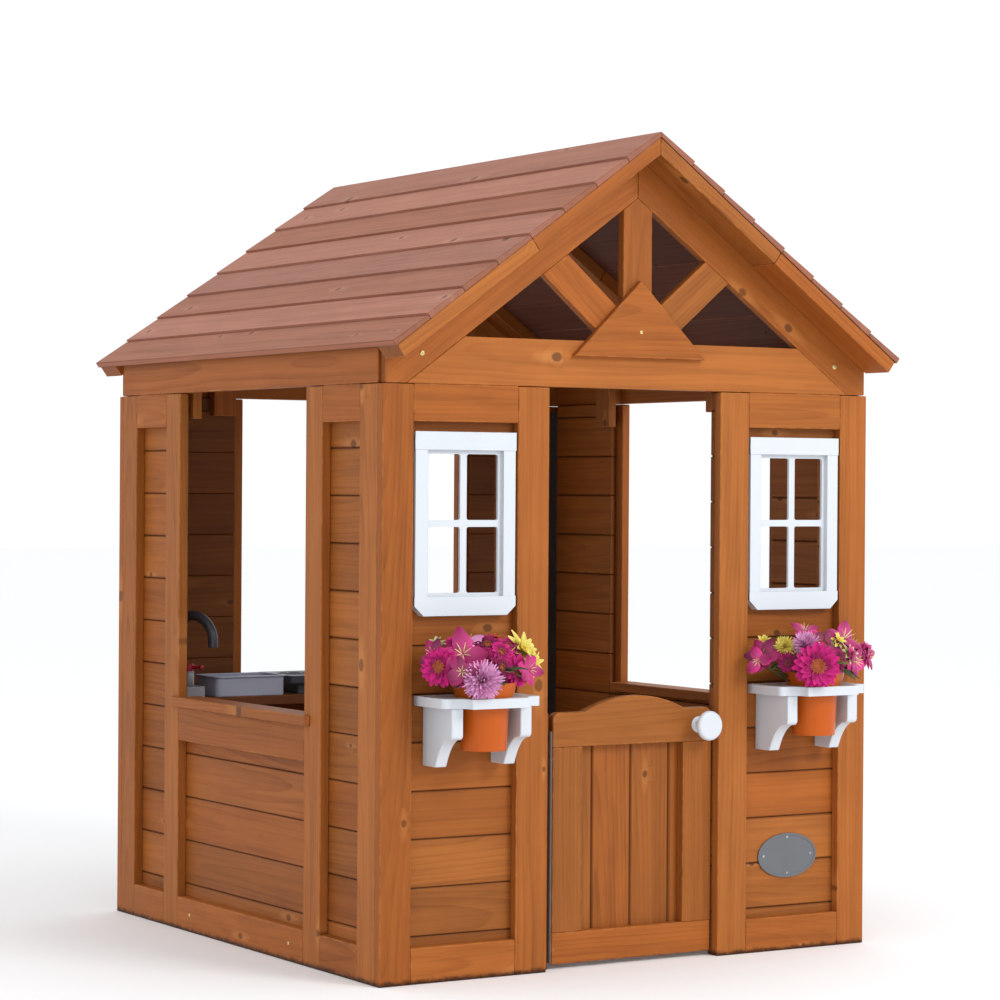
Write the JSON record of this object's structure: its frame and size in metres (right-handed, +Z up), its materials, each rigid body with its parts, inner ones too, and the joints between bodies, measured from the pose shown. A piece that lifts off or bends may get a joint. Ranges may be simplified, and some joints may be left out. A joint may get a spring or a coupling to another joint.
{
  "type": "garden playhouse",
  "caption": "Gabled cedar playhouse with a half door, barred windows, flower pots on shelves and a play kitchen inside.",
  "frame": {"origin": "on the ground, under the middle of the bounding box", "axes": "+Z up, front with the door towards -Y, +X to the right seen from the front"},
  "size_m": [1.006, 1.1989, 1.372],
  "materials": {
    "cedar": "satin stain",
    "roof_cedar": "matt stain",
    "white_plastic": "satin",
    "orange_plastic": "satin",
    "silk_flowers": "matt",
    "black_steel": "satin",
    "zinc_steel": "satin",
    "blue_grey_plastic": "satin",
    "light_grey_plastic": "satin",
    "dark_grey_plastic": "satin",
    "red_plastic": "gloss",
    "plate_grey": "satin",
    "brass_screws": "bright"
  },
  "bodies": {
    "house": {"front_corner_posts": "cedar", "front_door_posts": "cedar", "front_rails": "cedar", "front_left_boards": "cedar", "front_right_boards": "cedar", "left_side_posts": "cedar", "right_side_posts": "cedar", "side_rails": "cedar", "left_side_boards": "cedar", "right_side_boards": "cedar", "back_posts": "cedar", "back_rails": "cedar", "back_boards": "cedar", "sills": "cedar", "hinge_post": "cedar", "door_stop": "cedar", "corner_hinges": "black_steel", "front_chord": "cedar", "front_rafters": "cedar", "front_king_post": "cedar", "front_struts": "cedar", "gable_plaque": "cedar", "rear_chord": "cedar", "rear_rafters": "cedar", "rear_web": "cedar", "side_plates": "cedar", "roof_left_upper": "roof_cedar", "roof_left_lower": "roof_cedar", "roof_right_upper": "roof_cedar", "roof_right_lower": "roof_cedar", "roof_rakes": "cedar", "roof_battens": "cedar", "roof_cleats": "cedar", "left_window": "white_plastic", "right_window": "white_plastic", "left_planter_shelf": "white_plastic", "right_planter_shelf": "white_plastic", "planter_brackets": "white_plastic", "post_hinge_leaf": "zinc_steel", "hinge_pin": "zinc_steel", "counter": "cedar", "counter_supports": "cedar", "sink": "blue_grey_plastic", "faucet_base": "light_grey_plastic", "stove": "blue_grey_plastic", "name_plate": "plate_grey", "screws": "brass_screws"},
    "door": {"door_stiles": "cedar", "door_top_rail": "cedar", "door_bottom_rail": "cedar", "door_boards": "cedar", "door_knob": "white_plastic", "door_hinge_leaf": "zinc_steel"},
    "left_pot": {"left_pot": "orange_plastic", "left_bouquet": "silk_flowers"},
    "right_pot": {"right_pot": "orange_plastic", "right_bouquet": "silk_flowers"},
    "spout": {"faucet_spout": "dark_grey_plastic"},
    "tap": {"tap_handle": "red_plastic"}
  },
  "joints": [
    {"name": "door_hinge", "type": "hinge", "parent": "house", "child": "door", "pos_m": [-0.1522, -0.4325, 0.2], "axis": [0, 0, -1], "range_deg": [0, 100]},
    {"name": "left_pot_lift", "type": "slide", "parent": "house", "child": "left_pot", "axis": [0, 0, 1], "range_m": [0, 0.09]},
    {"name": "right_pot_lift", "type": "slide", "parent": "house", "child": "right_pot", "axis": [0, 0, 1], "range_m": [0, 0.09]},
    {"name": "spout_swivel", "type": "hinge", "parent": "house", "child": "spout", "pos_m": [-0.42, 0.4285, 0.41], "axis": [0, 0, 1], "range_deg": [-20, 90]},
    {"name": "tap_turn", "type": "hinge", "parent": "house", "child": "tap", "pos_m": [-0.42, 0.3655, 0.43], "axis": [0, 0, 1], "range_deg": [0, 180]}
  ]
}
